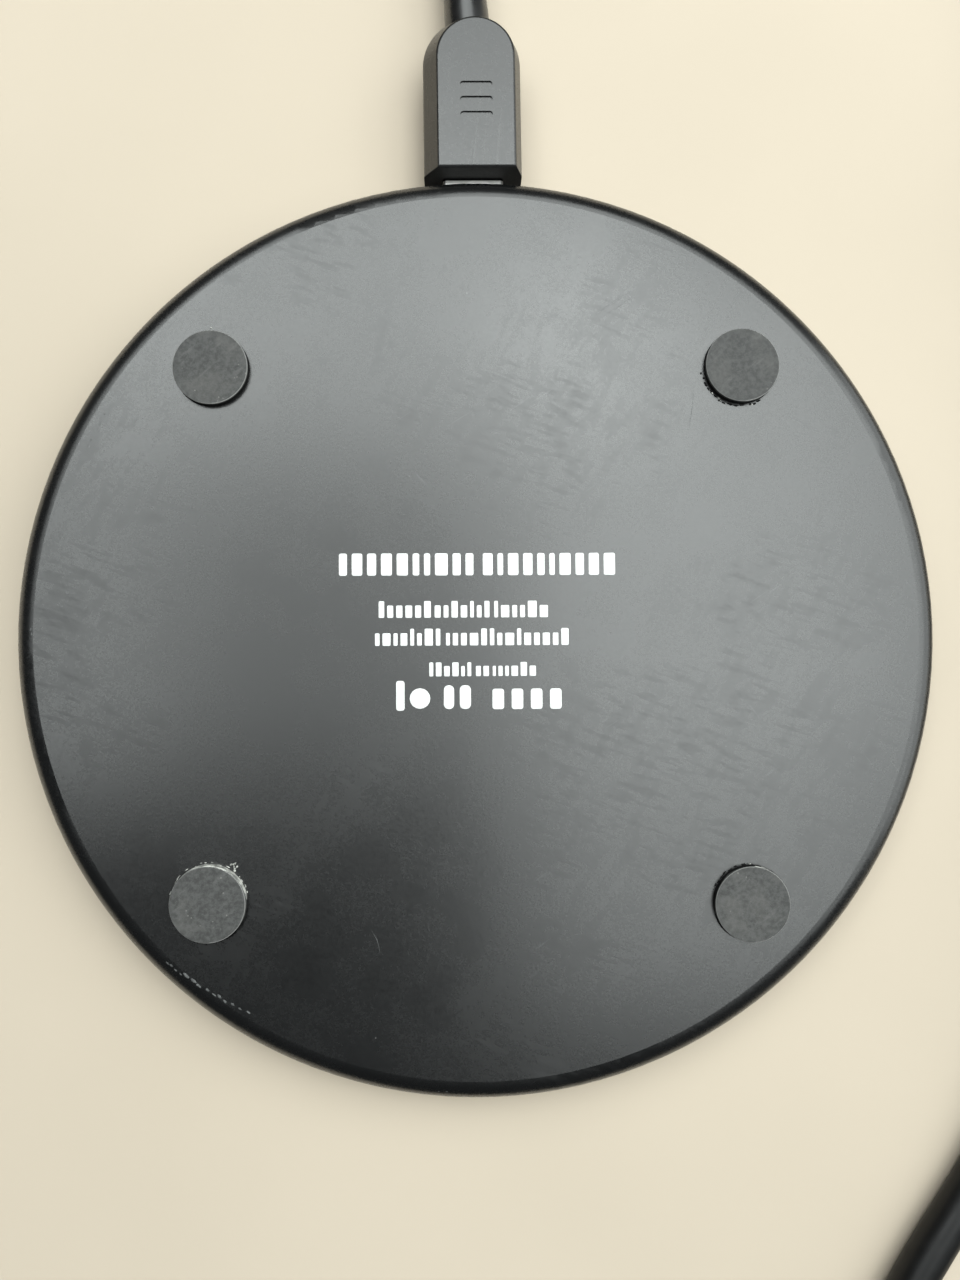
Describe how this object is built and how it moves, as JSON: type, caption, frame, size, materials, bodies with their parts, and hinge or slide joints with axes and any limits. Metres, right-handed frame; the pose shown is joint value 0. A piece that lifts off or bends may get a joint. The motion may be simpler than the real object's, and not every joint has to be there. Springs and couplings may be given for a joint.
{
  "type": "wireless charging pad",
  "caption": "Flat round wireless charging pad with rubber feet, a transmitter coil inside and a detachable USB lead plugged into a port in its edge.",
  "frame": {"origin": "centre of the charging face, in the plane that the pad lies on when it is face down", "axes": "+Z from the charging face towards the feet, +Y from the centre out through the USB port, +X completes the right-handed set; turn the part half a turn about Y for use with the charging face up"},
  "size_m": [0.1214, 0.2657, 0.0097],
  "materials": {
    "case_plastic": "fine matte texture",
    "face_acrylic": "gloss",
    "adhesive_tape": "tacky film",
    "foot_rubber": "matte",
    "screw_steel": "zinc plated",
    "litz_copper": "enamelled litz copper wire",
    "ferrite": "dull sintered",
    "board_laminate": "solder mask",
    "chip_epoxy": "moulded epoxy",
    "ceramic_tan": "fired",
    "plated_shell": "nickel plated steel",
    "connector_plastic": "moulded",
    "white_plastic": "moulded",
    "gold_contact": "gold flash",
    "overmold_pvc": "satin moulded",
    "cord_pvc": "satin extruded",
    "tie_strap": "satin"
  },
  "bodies": {
    "pad": {"front_cover": "case_plastic", "back_cover": "case_plastic", "charging_face": "face_acrylic", "face_tape": "adhesive_tape", "foot_port_left": "foot_rubber", "foot_port_right": "foot_rubber", "foot_far_left": "foot_rubber", "foot_far_right": "foot_rubber", "foot_tapes": "adhesive_tape", "case_screws": "screw_steel", "board_screws": "screw_steel", "charging_coil": "litz_copper", "coil_tape": "adhesive_tape", "ferrite_sheet": "ferrite", "circuit_board": "board_laminate", "controller_chip": "chip_epoxy", "driver_chips": "chip_epoxy", "resonance_capacitors": "ceramic_tan", "input_capacitors": "ceramic_tan", "crystal": "plated_shell", "resistors": "chip_epoxy", "usb_socket_shell": "plated_shell", "usb_socket_tongue": "connector_plastic", "usb_socket_contacts": "gold_contact"},
    "lead": {"plug_overmold": "overmold_pvc", "plug_shell": "plated_shell", "plug_latches": "plated_shell", "plug_insulator": "connector_plastic", "plug_contacts": "gold_contact", "plug_strain_relief": "cord_pvc", "usb_cable": "cord_pvc", "usb_cable_coil": "cord_pvc", "cable_tie": "tie_strap", "usb_cable_tail": "cord_pvc", "plug_a_strain_relief": "cord_pvc", "plug_a_overmold": "overmold_pvc", "plug_a_shell": "plated_shell", "plug_a_insulator": "white_plastic", "plug_a_contacts": "gold_contact"}
  },
  "joints": [
    {"name": "plug_pull", "type": "slide", "parent": "pad", "child": "lead", "axis": [0, 1, 0], "range_m": [0, 0.012]}
  ]
}
